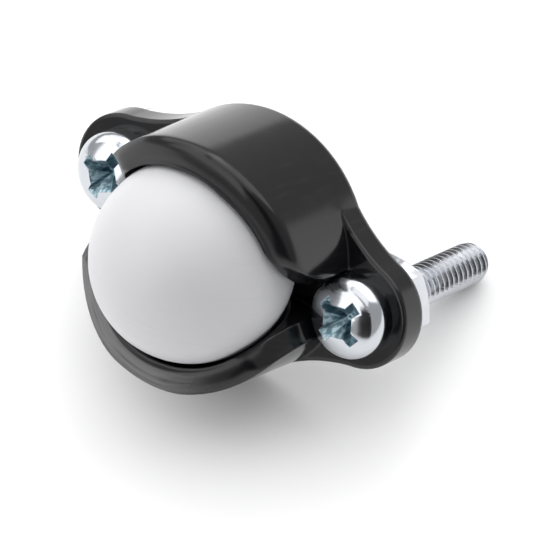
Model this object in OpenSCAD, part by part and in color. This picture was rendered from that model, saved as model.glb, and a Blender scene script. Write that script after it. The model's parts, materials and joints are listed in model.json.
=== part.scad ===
// Ball transfer unit: a free-rolling ball held in a moulded housing with two screw ears.
// Lengths are in millimetres. The mounting face lies on z = 0, the ball points along +Z
// and the two ears lie along X, so the ball's axis is the Z axis.

/* [Ball] */
// Diameter of the ball
ball_d = 9.525; // [8:0.025:11]
// Clearance all round the ball inside the cup
ball_gap = 0.2; // [0.1:0.02:0.3]
// Gap left between the ball and the surface that the unit is screwed to
back_gap = 0.24; // [0.1:0.02:0.6]

/* [Cup] */
// Wall of the cup at the ball's equator, where it is thinnest
wall_t = 1.1; // [0.8:0.05:1.6]
// Height of the rim above the ball's centre, which sets how far it grips the ball
grip_h = 1.66; // [1.3:0.02:2]
// Draft angle of the cup's outer wall
draft_deg = 1.2; // [0.5:0.1:3]
// Radius of the shallow arch that the rim makes from screw to screw
rim_arch = 12; // [9:0.5:20]
// Rounding of the rim's outer edge
rim_round = 0.26; // [0.1:0.02:0.5]
// Width of the lead-in bevel on the rim's inner edge
rim_bevel = 0.16; // [0.05:0.01:0.3]
// Diameter of the opening in the back of the cup
back_hole_d = 5; // [3:0.1:6]

/* [Claws] */
// Clearance between a screw head and the claws beside it
head_gap = 0.12; // [0.1:0.02:0.4]
// Width of the slot between the two claws
claw_slot = 2; // [1.6:0.05:2.6]
// Height of the slot's upright sides above the plate
claw_wall_h = 1.15; // [0.8:0.05:2]
// Angle through which the slot's sides turn outwards towards the rim
claw_turn_deg = 84; // [70:1:86]

/* [Base plate] */
// Thickness of the plate and its ears
plate_t = 1.4; // [1:0.05:2.4]
// Radius of an ear's round end
ear_r = 2.65; // [2.4:0.05:3.2]
// Radius of the hollow sides between the cup and the ears
neck_r = 8.5; // [6:0.1:14]
// Rounding of the plate's front edge
plate_round = 0.14; // [0.06:0.01:0.25]

/* [Fasteners] */
// Distance between the two screws
screw_spacing = 14; // [13.6:0.1:17]
// Nominal thread diameter
screw_d = 2; // [1.6:0.1:2.4]
// Length of a screw under its head
screw_len = 10; // [5:0.5:16]
// Diameter of a screw head
head_d = 3.9; // [3.4:0.1:4.2]
// Height of a screw head
head_h = 1.7; // [1.3:0.05:2]
// Span of the cross recess
recess_span = 2.7; // [2:0.05:3]
// Width of one wing of the cross recess
recess_wing = 0.6; // [0.35:0.05:0.75]
// Depth of the cross recess below the top of the head
recess_depth = 1.15; // [0.7:0.05:1.3]
// Width of a nut across its flats
nut_af = 4; // [3.8:0.1:4.6]
// Thickness of a nut
nut_t = 1.6; // [1.2:0.05:2.4]
// Diameter of the thread's core, which is also that of a nut's tapped bore
core_d = 1.56; // [1.2:0.02:1.6]
// Radial clearance between a screw's core and a nut's tapped bore
thread_gap = 0.02; // [0.01:0.005:0.05]
// Radial clearance between a screw and its hole in the ear
hole_gap = 0.15; // [0.05:0.01:0.25]

/* [Hidden] */
$fn = 88;
eps = 0.01;

ball_r = ball_d / 2;
ball_z = ball_r + back_gap;
cavity_r = ball_r + ball_gap;
rim_z = ball_z + grip_h;
draft = tan(draft_deg);
screw_r = screw_d / 2;
core_r = core_d / 2;
head_r = head_d / 2;
ear_x = screw_spacing / 2;

// The outer wall's radius at a height, drafted so that its wall at the equator is wall_t.
function wall_r(z) = cavity_r + wall_t + (ball_z - z) * draft;

// The hollow necks meet the cup's circle and the ears' circles almost tangentially: each
// circle is entered by a hair, so that the surfaces cross instead of only touching.
cup_r = wall_r(plate_t);
cup_entry = 0.04;
ear_entry = 0.015;
to_cup = cup_r - cup_entry + neck_r;
to_ear = ear_r - ear_entry + neck_r;
neck_x = (to_cup * to_cup - to_ear * to_ear + ear_x * ear_x) / (2 * ear_x);
neck_y = sqrt(to_cup * to_cup - neck_x * neck_x);
corner_over = 0.3;
cup_corner = [neck_x, neck_y] * (cup_r + corner_over) / to_cup;
ear_corner = [ear_x, 0] + [neck_x - ear_x, neck_y] * (ear_r + corner_over) / to_ear;

// The slot that parts the claws: its sides stand upright, then turn outwards up to the rim.
claw_turn_z = plate_t + claw_wall_h;
claw_round = (rim_z - claw_turn_z) / sin(claw_turn_deg);

// The arch tops out just under the flat that it replaces, so that the two never touch.
arch_stock = 0.02;

// The screw head is a dome whose edge is rounded down to an upright side.
dome_r = 1.75 * head_r;
corner_r = 0.38 * head_r;
corner_x = head_r - corner_r;
corner_z = head_h - dome_r + sqrt(pow(dome_r - corner_r, 2) - corner_x * corner_x);
head_chamfer = 0.1;
tip_chamfer = 0.35;
free_gap = 0.05;
nut_chamfer = 0.3;
recess_core = 0.35;

// A round body about Z whose side leans in by a slope and whose top edge is rounded.
module rounded_disc(r_top, height, rounding, slope = 0) {
    r_side = r_top + rounding * slope;
    rotate_extrude()
        union() {
            polygon([
                [0, 0],
                [r_top + height * slope, 0],
                [r_side, height - rounding],
                [r_side - rounding, height - rounding],
                [r_side - rounding, height],
                [0, height]
            ]);
            translate([r_side - rounding, height - rounding]) circle(r = rounding);
        }
}

// The tool that hollows one side of a neck, and flares at the top to round its front edge.
module neck_cutter() {
    flare_r = neck_r + plate_round;
    flare_z = plate_t - plate_round;
    rotate_extrude()
        difference() {
            polygon([
                [0, -1], [neck_r, -1], [neck_r, flare_z], [flare_r, flare_z],
                [flare_r, plate_t + 1], [0, plate_t + 1]
            ]);
            translate([flare_r, flare_z]) circle(r = plate_round);
        }
}

// The stretch of plate between the cup and the ear on one side.
module neck(side) {
    difference() {
        linear_extrude(plate_t)
            polygon([
                [0, 0],
                [side * cup_corner[0], cup_corner[1]],
                [side * ear_corner[0], ear_corner[1]],
                [side * ear_x, 0],
                [side * ear_corner[0], -ear_corner[1]],
                [side * cup_corner[0], -cup_corner[1]]
            ]);
        for (y = [-neck_y, neck_y]) translate([side * neck_x, y, 0]) neck_cutter();
    }
}

module base_plate() {
    for (side = [-1, 1]) {
        neck(side);
        translate([side * ear_x, 0, 0]) rounded_disc(ear_r, plate_t, plate_round);
    }
}

module cup_body() {
    rounded_disc(wall_r(rim_z), rim_z + arch_stock, rim_round, draft);
}

// What the rim's arch takes off the cup: everything above a cylinder that lies along Y.
module above_arch() {
    reach = cup_r + 1;
    rotate([90, 0, 0])
        linear_extrude(2 * reach, center = true)
            difference() {
                translate([-reach, rim_z - rim_arch / 2]) square([2 * reach, rim_arch]);
                translate([0, rim_z - rim_arch]) circle(r = rim_arch);
            }
}

// Half the outline of the room between two claws, from the plate up: upright at a distance
// from the middle, then turned outwards up to the rim.
module claw_room(half_width) {
    arc_x = half_width + claw_round;
    difference() {
        square([arc_x, rim_z - plate_t + 1]);
        translate([half_width, -1]) square([claw_round + 1, claw_wall_h + 1]);
        translate([arc_x, claw_wall_h]) circle(r = claw_round);
    }
}

// The slot along X that leaves two claws standing round the ball.
module between_claws() {
    reach = cup_r + 0.5;
    translate([-reach, 0, plate_t])
        rotate([90, 0, 90])
            linear_extrude(2 * reach)
                union() {
                    claw_room(claw_slot / 2);
                    mirror([1, 0]) claw_room(claw_slot / 2);
                }
}

// Room for a screw head and its driver, which takes off the claws' outer corners.
module head_room() {
    translate([0, 0, plate_t]) rotate_extrude() claw_room(head_r + head_gap);
}

module housing() {
    rim_inner_r = sqrt(cavity_r * cavity_r - grip_h * grip_h);
    color([0.06, 0.06, 0.065])
        difference() {
            union() {
                base_plate();
                cup_body();
            }
            translate([0, 0, ball_z]) sphere(r = cavity_r);
            translate([0, 0, rim_z - rim_bevel])
                cylinder(r1 = rim_inner_r - rim_bevel / 2, r2 = rim_inner_r + rim_bevel, h = 1.5 * rim_bevel);
            translate([0, 0, -1]) cylinder(d = back_hole_d, h = ball_z);
            above_arch();
            between_claws();
            for (side = [-1, 1]) translate([side * ear_x, 0, 0]) {
                head_room();
                translate([0, 0, -1]) cylinder(r = screw_r + hole_gap, h = plate_t + 2);
            }
        }
}

module ball() {
    color([0.93, 0.93, 0.92]) translate([0, 0, ball_z]) sphere(r = ball_r);
}

// The outline of half a pan head, from the seat at 0 up to the dome's top.
module head_outline() {
    union() {
        polygon([
            [0, 0], [head_r - head_chamfer, 0], [head_r, head_chamfer], [head_r, corner_z],
            [corner_x, corner_z], [0, corner_z]
        ]);
        translate([corner_x, corner_z]) circle(r = corner_r);
        intersection() {
            translate([0, head_h - dome_r]) circle(r = dome_r);
            polygon([
                [0, 0],
                [corner_x, corner_z],
                [corner_x, corner_z] + [corner_x, corner_z - head_h + dome_r] * 2 * corner_r / dome_r,
                [0, head_h + 1]
            ]);
        }
    }
}

module cross_recess() {
    intersection() {
        translate([0, 0, -recess_depth])
            cylinder(r1 = recess_core, r2 = recess_span / 2, h = recess_depth);
        for (turn = [0, 90])
            rotate([0, 0, turn + 45])
                translate([-recess_span, -recess_wing / 2, -2 * recess_depth])
                    cube([2 * recess_span, recess_wing, 3 * recess_depth]);
    }
}

// A pan-head screw whose head sits on z = 0. The free thread is drawn at its outer diameter.
// In the ear and the nut, where the thread is engaged or hidden, only its core is drawn.
module pan_screw() {
    core_end = -(plate_t + nut_t + free_gap);
    difference() {
        rotate_extrude()
            intersection() {
                head_outline();
                square([head_r, head_h]);
            }
        translate([0, 0, head_h]) cross_recess();
    }
    rotate_extrude()
        polygon([
            [0, eps],
            [core_r, eps],
            [core_r, core_end],
            [screw_r, core_end],
            [screw_r, tip_chamfer - screw_len],
            [screw_r - tip_chamfer, -screw_len],
            [0, -screw_len]
        ]);
}

// A hexagon nut whose top face is at z = 0, with chamfered corners.
module hex_nut() {
    bore_r = core_r + thread_gap;
    point_r = nut_af / sqrt(3);
    face_r = 0.96 * nut_af / 2;
    difference() {
        intersection() {
            translate([0, 0, -nut_t]) cylinder(r = point_r, h = nut_t, $fn = 6);
            rotate_extrude()
                polygon([
                    [0, 0],
                    [face_r, 0],
                    [point_r + eps, -nut_chamfer],
                    [point_r + eps, nut_chamfer - nut_t],
                    [face_r, -nut_t],
                    [0, -nut_t]
                ]);
        }
        translate([0, 0, -nut_t - 1]) cylinder(r = bore_r, h = nut_t + 2);
    }
}

module screw(side) {
    color([0.78, 0.79, 0.8]) translate([side * ear_x, 0, plate_t]) pan_screw();
}

module nut(side) {
    color([0.8, 0.8, 0.8]) translate([side * ear_x, 0, 0]) hex_nut();
}

housing();
ball();
screw(-1);  // screw_left
screw(1);  // screw_right
nut(-1);  // nut_left
nut(1);  // nut_right
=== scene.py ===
"""Looks of a small ball transfer unit: glossy moulded cup, white ball, zinc-plated screws and nuts.

Lengths are in metres, in the shared frame: the mounting face is z = 0 and the ball points along +Z.
"""

import json
import logging
import math
from collections.abc import Callable
from dataclasses import dataclass, field
from enum import Enum

import bpy
from mathutils import Matrix, Vector


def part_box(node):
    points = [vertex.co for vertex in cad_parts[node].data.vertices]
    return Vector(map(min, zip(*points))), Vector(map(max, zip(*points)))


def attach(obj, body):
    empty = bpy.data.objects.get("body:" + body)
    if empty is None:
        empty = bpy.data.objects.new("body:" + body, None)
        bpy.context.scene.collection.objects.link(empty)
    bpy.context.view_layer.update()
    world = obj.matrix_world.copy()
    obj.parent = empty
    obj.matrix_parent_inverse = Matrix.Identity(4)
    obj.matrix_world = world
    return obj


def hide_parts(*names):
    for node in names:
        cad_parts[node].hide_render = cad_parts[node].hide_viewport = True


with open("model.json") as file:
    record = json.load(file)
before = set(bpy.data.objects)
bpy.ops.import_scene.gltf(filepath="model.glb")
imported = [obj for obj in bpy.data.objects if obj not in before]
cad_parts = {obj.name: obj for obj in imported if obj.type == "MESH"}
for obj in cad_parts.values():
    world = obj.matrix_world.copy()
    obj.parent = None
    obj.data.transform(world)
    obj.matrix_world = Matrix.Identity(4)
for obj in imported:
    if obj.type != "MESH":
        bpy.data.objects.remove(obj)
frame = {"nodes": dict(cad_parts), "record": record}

MM = 0.001
FACING = 0.9  # cosine above which a direction counts as lying along another one
WHITE = (1.0, 1.0, 1.0, 1.0)
LOG = logging.getLogger("ball_transfer_unit")

Colour = tuple[float, float, float]  # red, green and blue, linear
Span = tuple[float, float]  # where a step or range starts and where it ends
Socket = bpy.types.NodeSocket


class Slot(Enum):
    """The record's material slots."""

    HOUSING = "black_plastic"
    BALL = "white_plastic"
    FASTENER = "zinc_steel"


class Axis(Enum):
    """Directions of the shared frame, as unit vectors."""

    X = (1.0, 0.0, 0.0)
    Y = (0.0, 1.0, 0.0)
    Z = (0.0, 0.0, 1.0)


class Combine(Enum):
    """Ways in which a tool changes the piece that it meets."""

    SINK = "DIFFERENCE"
    JOIN = "UNION"
    LIMIT = "INTERSECT"


class ScrewZone(Enum):
    """Parts of a screw that differ in finish, the recess by painted shade, as the index of their
    material.
    """

    HEAD = 0
    RECESS = 1
    SHANK = 2


# ---------------------------------------------------------------------------
# Modelling by hand: selecting, adding and finishing
# ---------------------------------------------------------------------------


def deselect_everything() -> None:
    """Leave object mode with nothing selected, so that an operator acts on one piece only."""
    if bpy.context.object and bpy.context.object.mode != "OBJECT":
        bpy.ops.object.mode_set(mode="OBJECT")
    bpy.ops.object.select_all(action="DESELECT")


def make_active(piece: bpy.types.Object) -> None:
    """Select one object alone and make it the active one.

    Args:
        piece: The object that the next operators act on.
    """
    deselect_everything()
    piece.select_set(True)
    bpy.context.view_layer.objects.active = piece


def take_new_primitive(name: str) -> bpy.types.Object:
    """Name the primitive that was just added and apply its rotation, scale and place.

    Args:
        name: The object's and its mesh's name.

    Returns:
        The named object, at the origin with its place in its mesh.
    """
    piece = bpy.context.object
    piece.name = name
    piece.data.name = name
    make_active(piece)
    bpy.ops.object.transform_apply(location=True, rotation=True, scale=True)
    return piece


def pick_faces(piece: bpy.types.Object, keep: Callable[[Vector, Vector], bool]) -> None:
    """In edit mode, select exactly the faces for which a test holds.

    Args:
        piece: The object in edit mode.
        keep: The test, given a face's centre and normal.
    """
    bpy.ops.mesh.select_mode(type="FACE")
    bpy.ops.mesh.select_all(action="DESELECT")
    bpy.ops.object.mode_set(mode="OBJECT")
    for face in piece.data.polygons:
        face.select = bool(keep(face.center, face.normal))
    bpy.ops.object.mode_set(mode="EDIT")


def pick_edges(piece: bpy.types.Object, keep: Callable[[Vector], bool]) -> None:
    """In edit mode, select exactly the edges whose two ends both pass a test.

    Args:
        piece: The object in edit mode.
        keep: The test, given a vertex's place.
    """
    bpy.ops.mesh.select_mode(type="EDGE")
    bpy.ops.mesh.select_all(action="DESELECT")
    bpy.ops.object.mode_set(mode="OBJECT")
    corners = piece.data.vertices
    for edge in piece.data.edges:
        edge.select = all(keep(corners[end].co) for end in edge.vertices)
    bpy.ops.object.mode_set(mode="EDIT")


def apply_modifier(piece: bpy.types.Object, kind: str, **settings: object) -> None:
    """Add one modifier with its settings and apply it to the mesh.

    Args:
        piece: The object to change.
        kind: The modifier's type.
        **settings: Values for the modifier's own properties.
    """
    make_active(piece)
    modifier = piece.modifiers.new(kind.title(), kind)
    for key, value in settings.items():
        setattr(modifier, key, value)
    bpy.ops.object.modifier_apply(modifier=modifier.name)


def combine(piece: bpy.types.Object, tool: bpy.types.Object, way: Combine) -> None:
    """Sink a tool in a piece, join it on or limit the piece to it, and remove the tool."""
    apply_modifier(piece, "BOOLEAN", operation=way.value, object=tool, solver="EXACT")
    bpy.data.objects.remove(tool, do_unlink=True)


def soften_edges(piece: bpy.types.Object, width: float, angle: float) -> None:
    """Round the sharp edges with two faces each and shade the rest smooth.

    Args:
        piece: The finished object.
        width: Width of the rounding.
        angle: Edges sharper than this angle are rounded.
    """
    apply_modifier(
        piece, "BEVEL", width=width, segments=2, limit_method="ANGLE",
        angle_limit=angle, use_clamp_overlap=True, harden_normals=False,
    )
    make_active(piece)
    bpy.ops.object.shade_smooth_by_angle(angle=angle)


def copy_to(piece: bpy.types.Object, name: str, place: Matrix) -> bpy.types.Object:
    """Copy a finished piece with a mesh of its own.

    Args:
        piece: The piece that was modelled once.
        name: The copy's name.
        place: Where the copy goes, applied to its mesh.

    Returns:
        The copy, at the origin with its place in its mesh.
    """
    twin = bpy.data.objects.new(name, piece.data.copy())
    twin.data.name = name
    twin.data.transform(place)
    bpy.context.scene.collection.objects.link(twin)
    return twin


# ---------------------------------------------------------------------------
# Shader nodes and shared effects
# ---------------------------------------------------------------------------


@dataclass
class NodeBench:
    """A node tree with short ways to add its nodes and join them."""

    name: str
    tree: bpy.types.NodeTree = field(init=False)

    def node(self, kind: str, **settings: object) -> bpy.types.Node:
        """Add a node and set its own properties.

        Args:
            kind: The node's type.
            **settings: Values for the node's own properties.

        Returns:
            The new node.
        """
        made = self.tree.nodes.new(kind)
        for key, value in settings.items():
            setattr(made, key, value)
        return made

    def feed(self, target: Socket, value: Socket | float | tuple[float, ...]) -> None:
        """Link a socket to an input, or set the input to a plain value.

        Args:
            target: The input.
            value: The socket or value that it gets.
        """
        if isinstance(value, Socket):
            self.tree.links.new(value, target)
        else:
            target.default_value = value

    def calculate(self, operation: str, *values: Socket | float) -> Socket:
        """Add a math node.

        Args:
            operation: What the node does.
            *values: Its operands in order, sockets or plain numbers.

        Returns:
            The socket with the result.
        """
        step = self.node("ShaderNodeMath", operation=operation)
        for target, value in zip(step.inputs, values):
            self.feed(target, value)
        return step.outputs[0]

    def noise(self, place: Socket, scale: Socket | float, detail: float) -> Socket:
        """Add a noise texture.

        Args:
            place: The position that it is read at.
            scale: Fineness of the noise.
            detail: Octaves of the noise.

        Returns:
            The socket with the noise, about 0.5 on average.
        """
        texture = self.node("ShaderNodeTexNoise")
        self.feed(texture.inputs["Vector"], place)
        self.feed(texture.inputs["Scale"], scale)
        self.feed(texture.inputs["Detail"], detail)
        return texture.outputs["Fac"]

    def ramp(self, value: Socket, low: float, high: float) -> Socket:
        """Turn a value into a smooth step.

        Args:
            value: The value to read.
            low: Where the step is 0.
            high: Where the step is 1; it may lie below low.

        Returns:
            The socket with the step.
        """
        step = self.node("ShaderNodeMapRange", interpolation_type="SMOOTHSTEP")
        self.feed(step.inputs["From Min"], low)
        self.feed(step.inputs["From Max"], high)
        self.feed(step.inputs["Value"], value)
        return step.outputs[0]


@dataclass
class EffectGroup(NodeBench):
    """Builder of one shader node group with named inputs and outputs."""

    inputs: dict[str, float]
    outputs: tuple[str, ...]
    start: bpy.types.Node = field(init=False)
    end: bpy.types.Node = field(init=False)

    def __post_init__(self) -> None:
        """Make the empty group and its sockets."""
        self.tree = bpy.data.node_groups.new(self.name, "ShaderNodeTree")
        sockets = self.tree.interface
        sockets.new_socket("Vector", in_out="INPUT", socket_type="NodeSocketVector")
        for label, value in self.inputs.items():
            socket = sockets.new_socket(label, in_out="INPUT", socket_type="NodeSocketFloat")
            socket.default_value = value
        for label in self.outputs:
            sockets.new_socket(label, in_out="OUTPUT", socket_type="NodeSocketFloat")
        self.start = self.node("NodeGroupInput")
        self.end = self.node("NodeGroupOutput")


def surface_grain_group() -> bpy.types.NodeTree:
    """Build the fine unevenness of a moulded or plated surface.

    Returns:
        A group that gives a height and a roughness, both varying over the surface.
    """
    finer, fine_share, middle = 6.0, 0.35, 0.5
    group = EffectGroup(
        "surface_grain",
        {"Scale": 1000.0, "Roughness": 0.3, "Variation": 0.1},
        ("Height", "Roughness"),
    )
    given = group.start.outputs
    fine = group.noise(given["Vector"], group.calculate("MULTIPLY", given["Scale"], finer), 3.0)
    broad = group.noise(given["Vector"], given["Scale"], 2.0)
    height = group.calculate("MULTIPLY_ADD", fine, fine_share, broad)
    group.feed(group.end.inputs["Height"], height)
    centred = group.calculate("SUBTRACT", broad, middle)
    spread = group.calculate("MULTIPLY_ADD", centred, given["Variation"], given["Roughness"])
    group.feed(group.end.inputs["Roughness"], spread)
    return group.tree


def scuff_group() -> bpy.types.NodeTree:
    """Build faint handling marks: short thin streaks in three directions.

    Returns:
        A group that gives a mask of the marks, 0 where the surface is clean.
    """
    turns_and_stretches = ((0.35, 14.0), (1.25, 11.0), (2.2, 16.0))
    clean, full = 0.66, 0.76
    group = EffectGroup("handling_scuffs", {"Scale": 400.0, "Amount": 0.5}, ("Mask",))
    given = group.start.outputs
    marks = []
    for turn, stretch in turns_and_stretches:
        turned = group.node("ShaderNodeMapping", vector_type="POINT")
        group.feed(turned.inputs["Rotation"], (turn * 0.7, turn, turn * 1.3))
        group.feed(turned.inputs["Scale"], (1.0, stretch, 1.0))
        group.feed(turned.inputs["Vector"], given["Vector"])
        marks.append(group.ramp(group.noise(turned.outputs[0], given["Scale"], 1.0), clean, full))
    strongest = marks[0]
    for mark in marks[1:]:
        strongest = group.calculate("MAXIMUM", strongest, mark)
    group.feed(
        group.end.inputs["Mask"], group.calculate("MULTIPLY", strongest, given["Amount"])
    )
    return group.tree


@dataclass
class Effects:
    """The shared node groups, built once."""

    grain: bpy.types.NodeTree = field(default_factory=surface_grain_group)
    scuffs: bpy.types.NodeTree = field(default_factory=scuff_group)


# ---------------------------------------------------------------------------
# Finishes
# ---------------------------------------------------------------------------


@dataclass(frozen=True)
class Streaks:
    """Drawn-out marks: their fineness, the scale of each axis, and the noise where they start.

    A small scale draws the marks out along its axis. Noise below clean gives no mark, above full a
    whole one.
    """

    scale: float
    stretch: tuple[float, float, float]
    clean: float
    full: float


@dataclass
class MaterialSheet(NodeBench):
    """A new material with its shader, its coordinates and short ways to add patterns.

    The edge samples are the rays that find a rounded normal, and the streak detail is the octaves
    of the noise under drawn-out marks.
    """

    edge_samples: int = 16
    streak_detail: float = 2.0
    material: bpy.types.Material = field(init=False)
    shader: bpy.types.Node = field(init=False)
    place: Socket = field(init=False)

    def __post_init__(self) -> None:
        """Make the material, find its shader and read positions in the shared frame."""
        self.material = bpy.data.materials.new(self.name)
        self.material.use_nodes = True
        self.tree = self.material.node_tree
        self.shader = self.tree.nodes["Principled BSDF"]
        self.place = self.node("ShaderNodeTexCoord").outputs["Object"]

    def shade(self, **values: Socket | float | tuple[float, ...]) -> None:
        """Feed the shader's inputs, named with underscores for spaces, with sockets or values."""
        for label, value in values.items():
            self.feed(self.shader.inputs[label.replace("_", " ")], value)

    def effect(self, tree: bpy.types.NodeTree, **values: float) -> bpy.types.Node:
        """Place a shared effect with this material's values.

        Args:
            tree: The effect's node group.
            **values: Values of its inputs, by name.

        Returns:
            The group node.
        """
        group = self.node("ShaderNodeGroup", node_tree=tree)
        self.feed(group.inputs["Vector"], self.place)
        for label, value in values.items():
            self.feed(group.inputs[label], value)
        return group

    def along(self, axis: Axis) -> Socket:
        """Read the distance from the origin along one axis of the shared frame.

        Args:
            axis: The axis.

        Returns:
            The socket with the distance.
        """
        share = self.node("ShaderNodeVectorMath", operation="DOT_PRODUCT")
        self.feed(share.inputs[0], self.place)
        self.feed(share.inputs[1], axis.value)
        return share.outputs["Value"]

    def reach(self) -> Socket:
        """Read the distance from the ball's axis, which is the shared frame's Z axis.

        Returns:
            The socket with the distance.
        """
        flat = self.node("ShaderNodeVectorMath", operation="MULTIPLY")
        self.feed(flat.inputs[0], self.place)
        self.feed(flat.inputs[1], (1.0, 1.0, 0.0))
        length = self.node("ShaderNodeVectorMath", operation="LENGTH")
        self.feed(length.inputs[0], flat.outputs[0])
        return length.outputs["Value"]

    def product(self, *factors: Socket) -> Socket:
        """Multiply several values.

        Args:
            *factors: The values, two or more.

        Returns:
            The socket with their product.
        """
        total = factors[0]
        for factor in factors[1:]:
            total = self.calculate("MULTIPLY", total, factor)
        return total

    def streaks(self, marks: Streaks, place: Socket | None = None) -> Socket:
        """Add drawn-out marks.

        Args:
            marks: Their fineness, direction and strength.
            place: Position to read in place of the shared frame's.

        Returns:
            The marks' mask.
        """
        drawn = self.node("ShaderNodeMapping")
        self.feed(drawn.inputs["Scale"], marks.stretch)
        self.feed(drawn.inputs["Vector"], place or self.place)
        grain = self.noise(drawn.outputs[0], marks.scale, self.streak_detail)
        return self.ramp(grain, marks.clean, marks.full)

    def rounded(self, radius: float) -> Socket:
        """Read the surface's normal as if its sharp edges were rounded.

        Args:
            radius: Radius of the rounding.

        Returns:
            The socket with the normal.
        """
        edge = self.node("ShaderNodeBevel", samples=self.edge_samples)
        self.feed(edge.inputs["Radius"], radius)
        return edge.outputs[0]

    def bump(self, height: Socket, depth: float, share: float, normal: Socket | None = None) -> None:
        """Feed a height to the shader's normal.

        Args:
            height: The socket that gives the height.
            depth: Depth of the relief.
            share: Share of the relief that shows.
            normal: The normal that the relief lies on, if it isn't the mesh's own.
        """
        relief = self.node("ShaderNodeBump")
        self.feed(relief.inputs["Distance"], depth)
        self.feed(relief.inputs["Strength"], share)
        self.feed(relief.inputs["Height"], height)
        if normal:
            self.feed(relief.inputs["Normal"], normal)
        self.shade(Normal=relief.outputs[0])

    def blend(self, mask: Socket, low: Socket | Colour, high: Colour) -> Socket:
        """Mix two colours by a mask.

        Args:
            mask: The socket that gives the share of the second colour.
            low: The first colour, plain or from a socket.
            high: The second colour.

        Returns:
            The socket with the mixed colour.
        """
        mix = self.node("ShaderNodeMix", data_type="RGBA")
        self.feed(mix.inputs["A"], low if isinstance(low, Socket) else (*low, 1.0))
        self.feed(mix.inputs["B"], (*high, 1.0))
        self.feed(mix.inputs["Factor"], mask)
        return mix.outputs["Result"]


@dataclass(frozen=True)
class MouldedBlack:
    """Glossy black injection-moulded plastic with faint flow unevenness, scuffs and a rim band of
    wear and painted sheen.

    The shoulder spans bound the claws' rim, whose edge is rounded the most. The wear-and-sheen spans
    bound the part of that rim which is painted grey, partly as wear and partly as painted sheen of
    the bright floor, each from where it starts to where it is whole.
    """

    colour: Colour = (0.006, 0.006, 0.007)
    scuffed: Colour = (0.03, 0.03, 0.033)
    # Grey of the rim band: wear and painted sheen of the bright floor.
    wear_and_sheen: Colour = (0.15, 0.147, 0.15)
    gloss: float = 0.42
    roughness: float = 0.13
    unevenness: float = 0.08
    worn_roughness: float = 0.4
    grain_scale: float = 900.0
    scuff_scale: float = 330.0
    scuff_amount: float = 0.2
    relief_depth: float = 0.004 * MM
    relief_share: float = 0.35
    edge_radius: float = 0.2 * MM
    shoulder_radius: float = 0.75 * MM
    shoulder_reach: Span = (4.9 * MM, 5.15 * MM)
    shoulder_rise: Span = (4.6 * MM, 5.4 * MM)
    # Spans of the rim band that is painted grey as wear and as painted floor sheen.
    wear_and_sheen_reach: Span = (4.92 * MM, 5.16 * MM)
    wear_and_sheen_rise: Span = (5.0 * MM, 5.6 * MM)
    wear_and_sheen_side: Span = (-2.0 * MM, -3.0 * MM)
    wear_and_sheen_end: Span = (4.0 * MM, 0.6 * MM)
    wear_and_sheen_streaks: Streaks = Streaks(2600.0, (0.1, 1.0, 2.2), 0.1, 0.62)

    def edge_normal(self, sheet: MaterialSheet) -> Socket:
        """Round all edges a little, and the outer shoulder of the claws' rim much more.

        Args:
            sheet: The material.

        Returns:
            The rounded normal.
        """
        outside = sheet.ramp(sheet.reach(), *self.shoulder_reach)
        above = sheet.ramp(sheet.along(Axis.Z), *self.shoulder_rise)
        low, high, result = 4, 5, 1  # the sockets that a Mix node has for vectors
        mix = sheet.node("ShaderNodeMix", data_type="VECTOR")
        sheet.feed(mix.inputs["Factor"], sheet.product(outside, above))
        sheet.feed(mix.inputs[low], sheet.rounded(self.edge_radius))
        sheet.feed(mix.inputs[high], sheet.rounded(self.shoulder_radius))
        return mix.outputs[result]

    def wear_and_sheen_rim(self, sheet: MaterialSheet) -> Socket:
        """Mask of the claw shoulder's grey band: wear and painted sheen of the floor.

        Args:
            sheet: The material.

        Returns:
            The mask, strongest towards the left screw and gone towards the right one.
        """
        ring = sheet.node("ShaderNodeCombineXYZ")
        sheet.feed(ring.inputs["X"], sheet.along(Axis.X))
        sheet.feed(ring.inputs["Y"], sheet.along(Axis.Z))
        sheet.feed(ring.inputs["Z"], sheet.reach())
        return sheet.product(
            sheet.ramp(sheet.reach(), *self.wear_and_sheen_reach),
            sheet.ramp(sheet.along(Axis.Z), *self.wear_and_sheen_rise),
            sheet.ramp(sheet.along(Axis.Y), *self.wear_and_sheen_side),
            sheet.ramp(sheet.along(Axis.X), *self.wear_and_sheen_end),
            sheet.streaks(self.wear_and_sheen_streaks, ring.outputs[0]),
        )

    def make(self, effects: Effects) -> bpy.types.Material:
        """Build the material.

        Args:
            effects: The shared node groups.

        Returns:
            The finished material.
        """
        sheet = MaterialSheet("moulded_black")
        grain = sheet.effect(
            effects.grain, Scale=self.grain_scale, Roughness=self.roughness,
            Variation=self.unevenness,
        )
        scuffs = sheet.effect(effects.scuffs, Scale=self.scuff_scale, Amount=self.scuff_amount)
        # Rim band mask: wear and painted sheen of the bright floor.
        wear_and_sheen = self.wear_and_sheen_rim(sheet)
        marked = sheet.blend(scuffs.outputs["Mask"], self.colour, self.scuffed)
        sheet.shade(
            Base_Color=sheet.blend(wear_and_sheen, marked, self.wear_and_sheen),
            Roughness=sheet.calculate(
                "MULTIPLY_ADD", wear_and_sheen, self.worn_roughness, grain.outputs["Roughness"]
            ),
            Specular_IOR_Level=self.gloss,
        )
        sheet.bump(
            grain.outputs["Height"], self.relief_depth, self.relief_share, self.edge_normal(sheet)
        )
        return sheet.material


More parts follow.
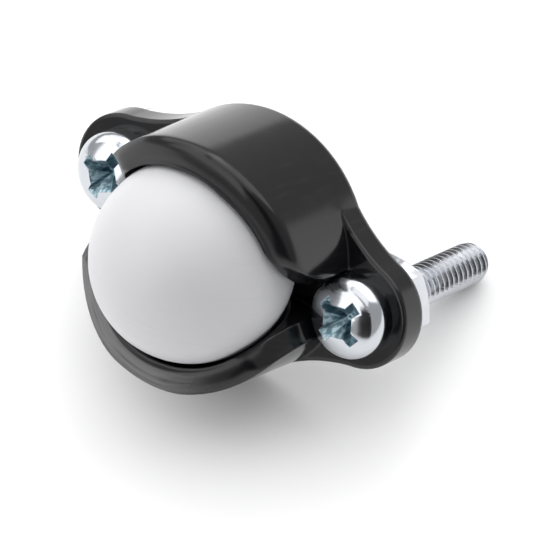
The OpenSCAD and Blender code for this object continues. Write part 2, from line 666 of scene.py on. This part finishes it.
@dataclass(frozen=True)
class BallWhite:
    """Smooth white acetal, slightly satin, into which light sinks a little."""

    colour: Colour = (0.585, 0.585, 0.6)
    scuffed: Colour = (0.565, 0.565, 0.58)
    roughness: float = 0.42
    unevenness: float = 0.1
    grain_scale: float = 500.0
    scuff_scale: float = 240.0
    scuff_amount: float = 0.6
    relief_depth: float = 0.003 * MM
    relief_share: float = 0.3
    glow: float = 0.6
    glow_depth: float = 1.6 * MM

    def make(self, effects: Effects) -> bpy.types.Material:
        """Build the material.

        Args:
            effects: The shared node groups.

        Returns:
            The finished material.
        """
        sheet = MaterialSheet("ball_white")
        grain = sheet.effect(
            effects.grain, Scale=self.grain_scale, Roughness=self.roughness,
            Variation=self.unevenness,
        )
        scuffs = sheet.effect(effects.scuffs, Scale=self.scuff_scale, Amount=self.scuff_amount)
        sheet.shade(
            Base_Color=sheet.blend(scuffs.outputs["Mask"], self.colour, self.scuffed),
            Roughness=grain.outputs["Roughness"],
            Subsurface_Weight=self.glow,
            Subsurface_Radius=(1.0, 1.0, 1.0),
            Subsurface_Scale=self.glow_depth,
        )
        sheet.bump(grain.outputs["Height"], self.relief_depth, self.relief_share)
        return sheet.material


@dataclass(frozen=True)
class ZincPlate:
    """Bright zinc plating with a blue passivation, plain or with the flutes of a pressed recess."""

    name: str = "zinc_plate"
    colour: Colour = (0.6, 0.62, 0.65)
    stain: Colour = (0.5, 0.53, 0.57)
    roughness: float = 0.15
    fluted: bool = False
    unevenness: float = 0.2
    grain_scale: float = 1400.0
    scuff_scale: float = 500.0
    scuff_amount: float = 0.8
    flutes: Streaks = Streaks(5200.0, (1.0, 1.0, 0.12), 0.36, 0.62)
    plain_depth: float = 0.008 * MM
    fluted_depth: float = 0.03 * MM
    relief_share: float = 0.4

    def make(self, effects: Effects) -> bpy.types.Material:
        """Build the material.

        Args:
            effects: The shared node groups.

        Returns:
            The finished material.
        """
        sheet = MaterialSheet(self.name)
        grain = sheet.effect(
            effects.grain, Scale=self.grain_scale, Roughness=self.roughness,
            Variation=self.unevenness,
        )
        scuffs = sheet.effect(effects.scuffs, Scale=self.scuff_scale, Amount=self.scuff_amount)
        relief = sheet.streaks(self.flutes) if self.fluted else grain.outputs["Height"]
        sheet.shade(
            Metallic=1.0,
            Base_Color=sheet.blend(relief, self.stain, self.colour),
            Roughness=grain.outputs["Roughness"],
        )
        sheet.bump(
            sheet.calculate("ADD", relief, scuffs.outputs["Mask"]),
            self.fluted_depth if self.fluted else self.plain_depth,
            self.relief_share,
        )
        return sheet.material


# ---------------------------------------------------------------------------
# The CAD nodes
# ---------------------------------------------------------------------------


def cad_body(node: str) -> str:
    """Name of the body that holds a node."""
    bodies = frame["record"]["behaviour"]["bodies"]
    return next(body for body, members in bodies.items() if node in members)


def stud_radius() -> float:
    """Radius of the screws' thread, from the record's mount."""
    bolts = next(mount for mount in frame["record"]["mounts"] if mount["name"] == "screws")
    return bolts["dims"]["stud_r_mm"] * MM


def dress_node(name: str, material: bpy.types.Material) -> bpy.types.Object:
    """Give a CAD node a material in every slot.

    Args:
        name: The node's name.
        material: The finish that it gets.

    Returns:
        The dressed node.
    """
    node = frame["nodes"][name]
    if not node.material_slots:
        node.data.materials.append(material)
    for slot in node.material_slots:
        slot.material = material
    return node


# ---------------------------------------------------------------------------
# Pieces
# ---------------------------------------------------------------------------


@dataclass
class PanScrew:
    """A pan head screw with a cross recess, modelled once about the Z axis, its seat on z = 0.

    The corner and crown shares are radii of the head's outline as shares of the head's radius. The
    wings of the recess narrow to the waist share at the axis, and to the two taper shares, of span
    and of width, at the bottom. The crest, root and flank shares are shares of the thread's pitch.
    The lead turns start the thread below the tip, the weld closes its turns on each other, and the
    tip band is the height within which the tip's edges are found.
    """

    head_radius: float
    head_height: float
    length: float
    thread_radius: float
    sides: int = 96
    corner_share: float = 0.38
    corner_steps: int = 9
    crown_share: float = 1.75
    crown_steps: int = 8
    edge_rounding: float = 0.035 * MM
    head_smooth_deg: float = 32.0
    recess_span: float = 3.5 * MM
    recess_wing: float = 0.82 * MM
    recess_waist: float = 0.6
    recess_taper: tuple[float, float] = (0.2, 0.35)
    recess_core: float = 1.1 * MM
    recess_core_sides: int = 8
    recess_core_drop: float = 0.1 * MM
    recess_depth: float = 1.15 * MM
    recess_overshoot: float = 0.3 * MM
    pitch: float = 0.4 * MM
    core_radius: float = 0.755 * MM
    crest_share: float = 0.108
    root_share: float = 0.12
    flank_share: float = 0.38
    turn_steps: int = 48
    lead_turns: int = 2
    weld: float = 0.002 * MM
    inside_head: float = 0.2 * MM
    tip_rounding: float = 0.6 * MM
    tip_steps: int = 5
    tip_band: float = 0.01 * MM
    shank_smooth_deg: float = 35.0

    def head(self) -> bpy.types.Object:
        """Model the head: a round blank, rounded at its edge and crowned by rising insets.

        Returns:
            The head without its recess.
        """
        corner = self.corner_share * self.head_radius
        crown = self.crown_share * self.head_radius
        corner_x = self.head_radius - corner
        crown_drop = math.sqrt((crown - corner) ** 2 - corner_x**2)
        corner_z = self.head_height - crown + crown_drop
        meeting = math.atan2(corner_x, crown_drop)
        outline = [
            (corner_x + corner * math.cos(angle), corner_z + corner * math.sin(angle))
            for angle in (
                (math.pi / 2 - meeting) * step / self.corner_steps
                for step in range(1, self.corner_steps + 1)
            )
        ]
        outline += [
            (crown * math.sin(angle), self.head_height - crown + crown * math.cos(angle))
            for angle in (
                meeting * (1 - step / self.crown_steps) for step in range(1, self.crown_steps)
            )
        ]
        deselect_everything()
        bpy.ops.mesh.primitive_cylinder_add(
            vertices=self.sides, radius=self.head_radius, depth=corner_z,
            location=(0, 0, corner_z / 2),
        )
        piece = take_new_primitive("screw_head")
        bpy.ops.object.mode_set(mode="EDIT")
        pick_faces(piece, lambda centre, normal: normal.z > FACING)
        radius, height = self.head_radius, corner_z
        for new_radius, new_height in outline:
            bpy.ops.mesh.extrude_region_move(
                TRANSFORM_OT_translate={"value": (0, 0, new_height - height)}
            )
            share = new_radius / radius
            bpy.ops.transform.resize(
                value=(share, share, 1), center_override=(0, 0, new_height)
            )
            radius, height = new_radius, new_height
        bpy.ops.mesh.poke()
        bpy.ops.object.mode_set(mode="OBJECT")
        return piece

    def recess_wing_tool(self, top: float, bottom: float) -> bpy.types.Object:
        """Model one wing of the driver's tip, waisted at the axis and tapered downwards.

        Args:
            top: Height of its upper end.
            bottom: Height of its lower end.

        Returns:
            The wing, along the X axis.
        """
        middle = (0, 0, (top + bottom) / 2)
        deselect_everything()
        bpy.ops.mesh.primitive_cube_add(size=1.0, location=middle)
        wing = take_new_primitive("recess_wing")
        bpy.ops.object.mode_set(mode="EDIT")
        bpy.ops.mesh.select_all(action="SELECT")
        bpy.ops.transform.resize(
            value=(self.recess_span, self.recess_wing, top - bottom), center_override=middle
        )
        bpy.ops.mesh.bisect(plane_co=(0, 0, 0), plane_no=Axis.X.value)
        bpy.ops.transform.resize(value=(1, self.recess_waist, 1), center_override=(0, 0, top))
        pick_faces(wing, lambda centre, normal: normal.z < -FACING)
        bpy.ops.transform.resize(
            value=(*self.recess_taper, 1), center_override=(0, 0, bottom)
        )
        bpy.ops.object.mode_set(mode="OBJECT")
        return wing

    def recess_tool(self) -> bpy.types.Object:
        """Model the driver's tip: two crossed wings, waisted and tapered, and a pointed core.

        Returns:
            The tool that sinks the recess.
        """
        top = self.head_height + self.recess_overshoot
        bottom = self.head_height - self.recess_depth
        wings = []
        for turn in (0.0, math.pi / 2):
            wing = self.recess_wing_tool(top, bottom)
            wing.data.transform(Matrix.Rotation(turn + math.pi / 4, 4, "Z"))
            wings.append(wing)
        deselect_everything()
        bpy.ops.mesh.primitive_cone_add(
            vertices=self.recess_core_sides, radius1=0.0, radius2=self.recess_core,
            depth=top - bottom + self.recess_core_drop,
            location=(0, 0, (top + bottom) / 2 - self.recess_core_drop / 2),
        )
        core = take_new_primitive("recess_core")
        core.data.transform(Matrix.Rotation(math.pi / self.recess_core_sides, 4, "Z"))
        for wing in wings:
            combine(core, wing, Combine.JOIN)
        return core

    def thread_profile(self) -> bpy.types.Object:
        """Draw one pitch of the thread by extruding a point, low enough to lead in below the tip.

        Returns:
            The profile: root, rising flank, falling flank and root.
        """
        rise = self.thread_radius + self.crest_share * self.pitch - self.core_radius
        deselect_everything()
        bpy.ops.mesh.primitive_plane_add(size=self.pitch)
        piece = take_new_primitive("screw_thread")
        bpy.ops.object.mode_set(mode="EDIT")
        bpy.ops.mesh.select_mode(type="VERT")
        bpy.ops.mesh.select_all(action="SELECT")
        bpy.ops.mesh.merge(type="CENTER")
        start = Vector((self.core_radius, 0, -self.length - self.lead_turns * self.pitch))
        bpy.ops.transform.translate(value=start)
        for step in (
            (0, 0, self.pitch * self.root_share),
            (rise, 0, self.pitch * self.flank_share),
            (-rise, 0, self.pitch * self.flank_share),
            (0, 0, self.pitch * self.root_share),
        ):
            bpy.ops.mesh.extrude_region_move(TRANSFORM_OT_translate={"value": step})
        bpy.ops.object.mode_set(mode="OBJECT")
        return piece

    def thread(self) -> bpy.types.Object:
        """Model the threaded shank: the profile, screwed up the whole length and closed.

        Returns:
            The shank, from just inside the head to its rounded tip.
        """
        piece = self.thread_profile()
        turns = math.ceil(self.length / self.pitch) + self.lead_turns + 1
        apply_modifier(
            piece, "SCREW", axis="Z", angle=math.tau, screw_offset=self.pitch,
            iterations=turns, steps=self.turn_steps, render_steps=self.turn_steps,
            use_merge_vertices=False, use_smooth_shade=False,
        )
        bpy.ops.object.mode_set(mode="EDIT")
        bpy.ops.mesh.select_all(action="SELECT")
        bpy.ops.mesh.remove_doubles(threshold=self.weld)
        bpy.ops.mesh.select_mode(type="EDGE")
        bpy.ops.mesh.select_all(action="DESELECT")
        bpy.ops.mesh.select_non_manifold()
        bpy.ops.mesh.edge_face_add()
        bpy.ops.mesh.select_all(action="SELECT")
        bpy.ops.mesh.normals_make_consistent(inside=False)
        bpy.ops.object.mode_set(mode="OBJECT")
        combine(piece, self.shank_limit(), Combine.LIMIT)
        make_active(piece)
        bpy.ops.object.shade_smooth_by_angle(angle=math.radians(self.shank_smooth_deg))
        return piece

    def shank_limit(self) -> bpy.types.Object:
        """Model the plain bar that the thread is cut on, with its rounded tip.

        Returns:
            The bar, from just inside the head to the tip.
        """
        deselect_everything()
        bpy.ops.mesh.primitive_cylinder_add(
            vertices=self.sides, radius=self.thread_radius, depth=self.length + self.inside_head,
            location=(0, 0, (self.inside_head - self.length) / 2),
        )
        bar = take_new_primitive("shank_bar")
        bpy.ops.object.mode_set(mode="EDIT")
        pick_edges(bar, lambda place: place.z < -self.length + self.tip_band)
        bpy.ops.mesh.bevel(
            offset=self.tip_rounding, segments=self.tip_steps, profile=0.5, affect="EDGES"
        )
        bpy.ops.object.mode_set(mode="OBJECT")
        return bar

    def build(self) -> bpy.types.Object:
        """Model the whole screw.

        Returns:
            The screw about the Z axis, with the seat of its head on z = 0.
        """
        head = self.head()
        combine(head, self.recess_tool(), Combine.SINK)
        soften_edges(head, self.edge_rounding, math.radians(self.head_smooth_deg))
        shank = self.thread()
        make_active(head)
        shank.select_set(True)
        bpy.ops.object.join()
        head.name = "pan_screw"
        return head


@dataclass
class HexNut:
    """A chamfered hexagon nut, modelled once about the Z axis, its upper face on z = 0.

    The corner share leaves the hexagon's points whole between the chamfers, and the face share is
    the radius of the flat end faces as a share of the distance across the flats.
    """

    across_flats: float
    thickness: float
    bore_radius: float
    chamfer: float = 0.26 * MM
    corner_share: float = 1.001
    face_share: float = 0.48
    countersink: float = 0.16 * MM
    run_out: float = 0.05 * MM
    edge_rounding: float = 0.03 * MM
    smooth_deg: float = 20.0
    blank_sides: int = 96
    bore_sides: int = 64

    def turned_blank(self, radius: float, end_radius: float, end: float, sides: int,
                     over: float = 0.0) -> bpy.types.Object:
        """Model a round body whose two ends are coned, by extruding and resizing its ends.

        Args:
            radius: Radius of the middle.
            end_radius: Radius at both end faces.
            end: Height of each cone.
            sides: Number of sides.
            over: How far the body runs past the nut's faces.

        Returns:
            The body, on the nut's axis.
        """
        middle = (0, 0, -self.thickness / 2)
        share = end_radius / radius
        deselect_everything()
        bpy.ops.mesh.primitive_cylinder_add(
            vertices=sides, radius=radius, depth=self.thickness - 2 * end + 2 * over,
            location=middle,
        )
        body = take_new_primitive("turned_blank")
        bpy.ops.object.mode_set(mode="EDIT")
        for side in (1, -1):
            pick_faces(body, lambda centre, normal, side=side: normal.z * side > FACING)
            bpy.ops.mesh.extrude_region_move(
                TRANSFORM_OT_translate={"value": (0, 0, side * end)}
            )
            bpy.ops.transform.resize(value=(share, share, 1), center_override=middle)
        bpy.ops.object.mode_set(mode="OBJECT")
        return body

    def build(self) -> bpy.types.Object:
        """Model the nut.

        Returns:
            The nut, with two of its flats facing along Y.
        """
        point = self.across_flats / math.sqrt(3)
        deselect_everything()
        bpy.ops.mesh.primitive_cylinder_add(
            vertices=6, radius=point, depth=self.thickness,
            location=(0, 0, -self.thickness / 2), rotation=(0, 0, math.radians(30)),
        )
        piece = take_new_primitive("hex_nut")
        outside = self.turned_blank(
            point * self.corner_share, self.across_flats * self.face_share, self.chamfer,
            self.blank_sides,
        )
        combine(piece, outside, Combine.LIMIT)
        bore = self.turned_blank(
            self.bore_radius, self.bore_radius + self.countersink + self.run_out,
            self.countersink + self.run_out, self.bore_sides, self.run_out,
        )
        combine(piece, bore, Combine.SINK)
        soften_edges(piece, self.edge_rounding, math.radians(self.smooth_deg))
        return piece


@dataclass
class Fasteners:
    """The two screws and the two nuts, dressed and set in their places.

    The recess shares are shares of the recess's depth: its walls reach down to the first, and its
    floor starts below the second. The wall slope is the normal's height on the shallowest wall.
    """

    finish: ZincPlate = ZincPlate()
    # Darker, bluer plating in the recess: painted shade and painted bluish reflection, on real
    # flutes.
    recess_plating_with_painted_shade: ZincPlate = ZincPlate(
        "zinc_recess_painted_shade", (0.42, 0.55, 0.61), (0.12, 0.2, 0.24), 0.42, True
    )
    dull_finish: ZincPlate = ZincPlate("zinc_dull", (0.64, 0.65, 0.68), (0.5, 0.52, 0.56), 0.22)
    head_turns_deg: tuple[tuple[str, float], ...] = (("screw_left", 30.0), ("screw_right", 16.0))
    nut_names: tuple[str, ...] = ("nut_left", "nut_right")
    ear_thickness: float = 1.4 * MM
    bore_share: float = 0.96
    recess_reach: float = 1.42 * MM
    recess_share: float = 1.1
    floor_reach: float = 0.6 * MM
    floor_share: float = 0.35
    wall_slope: float = 0.75

    def zone(self, face: bpy.types.MeshPolygon, top: float, depth: float) -> ScrewZone:
        """Tell which part of the screw a face belongs to.

        Args:
            face: A face of the screw about the Z axis.
            top: Height of the head's top.
            depth: Depth of the recess below it.

        Returns:
            The part.
        """
        height = face.center.z
        reach = math.hypot(face.center.x, face.center.y)
        wall = face.normal.z < self.wall_slope
        floor = height < top - self.floor_share * depth and reach < self.floor_reach
        inner = height > top - depth * self.recess_share and reach < self.recess_reach
        if height < 0:
            return ScrewZone.SHANK
        return ScrewZone.RECESS if inner and (wall or floor) else ScrewZone.HEAD

    def dress_screw(self, piece: bpy.types.Object, effects: Effects, depth: float) -> None:
        """Give a screw its plating, its recess a darker, bluer copy as painted shade and reflection,
        its shank a duller one.

        Args:
            piece: The screw about the Z axis.
            effects: The shared node groups.
            depth: Depth of the recess below the head's top.
        """
        piece.data.materials.clear()
        for finish in (self.finish, self.recess_plating_with_painted_shade, self.dull_finish):
            piece.data.materials.append(finish.make(effects))
        top = max(corner.co.z for corner in piece.data.vertices)
        for face in piece.data.polygons:
            face.material_index = self.zone(face, top, depth).value

    def build_screws(self, effects: Effects) -> list[bpy.types.Object]:
        """Model, dress and place the two screws.

        Args:
            effects: The shared node groups.

        Returns:
            The two screws.
        """
        lo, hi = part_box("screw_right")
        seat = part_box("nut_right")[1].z + self.ear_thickness
        screw = PanScrew(
            head_radius=(hi.x - lo.x) / 2, head_height=hi.z - seat, length=seat - lo.z,
            thread_radius=stud_radius(),
        )
        model = screw.build()
        self.dress_screw(model, effects, screw.recess_depth)
        made = []
        for name, turn_deg in self.head_turns_deg:
            centre = sum(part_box(name), Vector()) / 2
            turn = Matrix.Rotation(math.radians(turn_deg), 4, "Z")
            place = Matrix.Translation((centre.x, centre.y, seat)) @ turn
            made.append(self.settle(copy_to(model, name + "_cut", place), name))
        bpy.data.objects.remove(model, do_unlink=True)
        return made

    def build_nuts(self, effects: Effects) -> list[bpy.types.Object]:
        """Model, dress and place the two nuts.

        Args:
            effects: The shared node groups.

        Returns:
            The two nuts.
        """
        lo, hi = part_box("nut_right")
        nut = HexNut(
            across_flats=hi.y - lo.y, thickness=hi.z - lo.z,
            bore_radius=self.bore_share * stud_radius(),
        )
        model = nut.build()
        model.data.materials.clear()
        model.data.materials.append(self.dull_finish.make(effects))
        made = []
        for name in self.nut_names:
            lo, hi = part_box(name)
            place = Matrix.Translation(((lo.x + hi.x) / 2, (lo.y + hi.y) / 2, hi.z))
            made.append(self.settle(copy_to(model, name + "_cut", place), name))
        bpy.data.objects.remove(model, do_unlink=True)
        return made

    def build(self, effects: Effects) -> list[bpy.types.Object]:
        """Model, dress and place the screws and then the nuts."""
        return self.build_screws(effects) + self.build_nuts(effects)

    @staticmethod
    def settle(piece: bpy.types.Object, node: str) -> bpy.types.Object:
        """Let a piece stand for its CAD node and ride with it.

        Args:
            piece: The finished piece.
            node: The node that it stands for.

        Returns:
            The same piece.
        """
        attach(piece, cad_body(node))
        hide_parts(node)
        return piece


@dataclass
class Moulding:
    """The one-piece housing, whose solid stays and gets its finish."""

    finish: MouldedBlack = MouldedBlack()

    def dress(self, effects: Effects) -> list[bpy.types.Object]:
        """Give the housing its plastic."""
        return [dress_node("housing", self.finish.make(effects))]


@dataclass
class RollingBall:
    """The ball, whose solid stays and gets its finish."""

    finish: BallWhite = BallWhite()

    def dress(self, effects: Effects) -> list[bpy.types.Object]:
        """Give the ball its plastic."""
        return [dress_node("ball", self.finish.make(effects))]


# ---------------------------------------------------------------------------
# Studio
# ---------------------------------------------------------------------------


@dataclass(frozen=True)
class StudioPanel:
    """A rectangle that faces the ball from a direction given by the floor.

    The bearing runs round the floor's normal from the X axis, and the height is the angle above
    the floor.
    """

    name: str
    bearing_deg: float
    height_deg: float
    distance: float
    size: tuple[float, float]


@dataclass(frozen=True)
class Softbox(StudioPanel):
    """A panel that gives soft white light."""

    power: float


@dataclass(frozen=True)
class DarkCard(StudioPanel):
    """A panel that gives the metal something dark to show."""

    colour: Colour
    roughness: float


@dataclass
class Studio:
    """The floor that the unit lies on, the camera above it and the soft lights round it.

    The unit rests on its cup's side and on two screw tips, whose rim is the tip height above the
    screws' ends. The normal, along and across vectors are the floor's own axes.
    """

    lens: float = 335.85
    sensor: float = 36.0
    camera_bearing_deg: float = -45.26
    camera_height_deg: float = 53.94
    camera_roll_deg: float = -6.89
    camera_distance: float = 227.6 * MM
    camera_reach: Span = (1 * MM, 10.0)
    aim_right: float = 3.435 * MM
    aim_up: float = -0.392 * MM
    tip_height: float = 0.35 * MM
    floor_size: float = 900 * MM
    floor_colour: Colour = (0.95, 0.95, 0.95)
    floor_roughness: float = 0.7
    floor_gloss: float = 0.2
    floor_glow: float = 0.01
    surroundings: float = 0.5
    softboxes: tuple[Softbox, ...] = (
        Softbox("overhead", 0.0, 89.0, 0.35, (0.3, 0.3), 0.28),
        Softbox("back_left", 177.0, 40.0, 0.35, (0.3, 0.3), 0.36),
        Softbox("back_middle", 130.0, 40.0, 0.35, (0.25, 0.25), 0.22),
        Softbox("back_right", 85.0, 46.0, 0.35, (0.4, 0.38), 0.69),
        Softbox("front_left", -118.0, 35.0, 0.35, (0.36, 0.34), 0.5),
    )
    flag: DarkCard = DarkCard(
        "dark_flag", -62.0, 22.0, 0.2, (0.12, 0.19), (0.006, 0.003, 0.003), 0.9
    )
    normal: Vector = field(init=False)
    along: Vector = field(init=False)
    across: Vector = field(init=False)
    level: float = field(init=False)
    ball: Vector = field(init=False)

    def __post_init__(self) -> None:
        """Work out the floor from the three points that the unit rests on."""
        cup_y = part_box("housing")[0].y
        tip_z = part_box("screw_right")[0].z + self.tip_height
        lean = math.atan2(-cup_y - stud_radius(), -tip_z)
        self.normal = Vector((0, math.cos(lean), math.sin(lean)))
        self.along = Vector(Axis.X.value)
        self.across = self.normal.cross(self.along)
        self.level = self.normal.dot(Vector((0, cup_y, 0)))
        ball_lo, ball_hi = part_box("ball")
        self.ball = (ball_lo + ball_hi) / 2

    def direction(self, bearing_deg: float, height_deg: float) -> Vector:
        """Turn a bearing round the floor's normal and a height above the floor into a direction.

        Args:
            bearing_deg: The bearing in degrees.
            height_deg: The height in degrees.

        Returns:
            The unit vector away from the ball.
        """
        bearing, height = math.radians(bearing_deg), math.radians(height_deg)
        level = self.along * math.cos(bearing) + self.across * math.sin(bearing)
        return level * math.cos(height) + self.normal * math.sin(height)

    @staticmethod
    def aim(back: Vector, up: Vector, roll: float = 0.0) -> Matrix:
        """Rotation that looks against one direction with another one upwards.

        Args:
            back: Unit vector from the target towards the viewer.
            up: Direction that shows upwards.
            roll: Turn about the line of sight.

        Returns:
            The rotation as a 4 by 4 matrix.
        """
        right = up.cross(back).normalized()
        top = back.cross(right)
        turn = Matrix((right, top, back)).transposed().to_4x4()
        return turn @ Matrix.Rotation(roll, 4, "Z")

    def placement(self, panel: StudioPanel) -> Matrix:
        """Work out where a panel stands and how it faces the ball.

        Args:
            panel: The light or card.

        Returns:
            Its place and rotation.
        """
        back = self.direction(panel.bearing_deg, panel.height_deg)
        up = self.across if abs(back.dot(self.normal)) > FACING else self.normal
        return Matrix.Translation(self.ball + back * panel.distance) @ self.aim(back, up)

    def build_camera(self) -> bpy.types.Object:
        """Make the camera at its bearing, height and roll, and set it.

        Returns:
            The camera.
        """
        back = self.direction(self.camera_bearing_deg, self.camera_height_deg)
        turn = self.aim(back, self.normal, math.radians(self.camera_roll_deg))
        right = turn.to_3x3() @ Vector(Axis.X.value)
        up = turn.to_3x3() @ Vector(Axis.Y.value)
        target = self.ball + right * self.aim_right + up * self.aim_up
        data = bpy.data.cameras.new("camera")
        data.lens = self.lens
        data.sensor_width = self.sensor
        data.clip_start, data.clip_end = self.camera_reach
        camera = bpy.data.objects.new("camera", data)
        camera.matrix_world = Matrix.Translation(target + back * self.camera_distance) @ turn
        bpy.context.scene.collection.objects.link(camera)
        bpy.context.scene.camera = camera
        return camera

    def build_lights(self) -> list[bpy.types.Object]:
        """Make the soft lights.

        Returns:
            The lights.
        """
        lamps = []
        for box in self.softboxes:
            data = bpy.data.lights.new(box.name, "AREA")
            data.shape = "RECTANGLE"
            data.size, data.size_y = box.size
            data.energy = box.power
            lamp = bpy.data.objects.new(box.name, data)
            lamp.matrix_world = self.placement(box)
            bpy.context.scene.collection.objects.link(lamp)
            lamps.append(lamp)
        return lamps

    def build_surroundings(self) -> None:
        """Make the plain pale surroundings."""
        world = bpy.data.worlds.new("surroundings")
        world.use_nodes = True
        background = world.node_tree.nodes["Background"]
        background.inputs["Color"].default_value = WHITE
        background.inputs["Strength"].default_value = self.surroundings
        bpy.context.scene.world = world

    def build_flag(self) -> bpy.types.Object:
        """Make the dark card in front of the unit.

        Returns:
            The card.
        """
        deselect_everything()
        bpy.ops.mesh.primitive_plane_add(size=1.0)
        bpy.context.object.scale = (*self.flag.size, 1.0)
        card = take_new_primitive(self.flag.name)
        card.data.transform(self.placement(self.flag))
        sheet = MaterialSheet(self.flag.name)
        sheet.shade(Base_Color=(*self.flag.colour, 1.0), Roughness=self.flag.roughness)
        card.data.materials.append(sheet.material)
        return card

    def build_floor(self) -> bpy.types.Object:
        """Make the pale floor, which can only be seen from above.

        Returns:
            The floor.
        """
        deselect_everything()
        bpy.ops.mesh.primitive_plane_add(size=self.floor_size)
        floor = take_new_primitive("floor")
        turn = Matrix((self.along, self.across, self.normal)).transposed().to_4x4()
        floor.data.transform(Matrix.Translation(self.normal * self.level) @ turn)
        sheet = MaterialSheet("floor_white")
        sheet.shade(
            Base_Color=(*self.floor_colour, 1.0),
            Roughness=self.floor_roughness,
            Specular_IOR_Level=self.floor_gloss,
            Emission_Color=WHITE,
            Emission_Strength=self.floor_glow,
        )
        clear = sheet.node("ShaderNodeBsdfTransparent")
        side = sheet.node("ShaderNodeNewGeometry")
        mix = sheet.node("ShaderNodeMixShader")
        sheet.feed(mix.inputs[0], side.outputs["Backfacing"])
        sheet.feed(mix.inputs[1], sheet.shader.outputs[0])
        sheet.feed(mix.inputs[2], clear.outputs[0])
        sheet.feed(sheet.tree.nodes["Material Output"].inputs["Surface"], mix.outputs[0])
        floor.data.materials.append(sheet.material)
        return floor

    def build(self) -> list[bpy.types.Object]:
        """Build the camera, the lights, the surroundings, the dark card and the floor.

        Returns:
            The pieces of the studio.
        """
        bpy.context.scene.view_settings.view_transform = "Standard"
        camera = self.build_camera()
        lamps = self.build_lights()
        self.build_surroundings()
        return [camera, *lamps, self.build_flag(), self.build_floor()]


def report(pieces: list[bpy.types.Object], slot: Slot | None = None) -> None:
    """Log the pieces that a class has just built or dressed.

    Args:
        pieces: The pieces.
        slot: The material slot of a part's pieces, and None for the studio's.
    """
    role = slot.value if slot else "studio"
    for piece in pieces:
        faces = len(piece.data.polygons) if piece.type == "MESH" else 0
        LOG.info("%s (%s): %s with %d faces", piece.name, role, piece.type.lower(), faces)


def main() -> None:
    """Build and dress the object and its studio in order."""
    logging.basicConfig(level=logging.INFO, format="%(name)s: %(message)s")
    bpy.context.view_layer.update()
    effects = Effects()
    report(Moulding().dress(effects), Slot.HOUSING)
    report(RollingBall().dress(effects), Slot.BALL)
    report(Fasteners().build(effects), Slot.FASTENER)
    report(Studio().build())


if __name__ == "__main__":
    main()
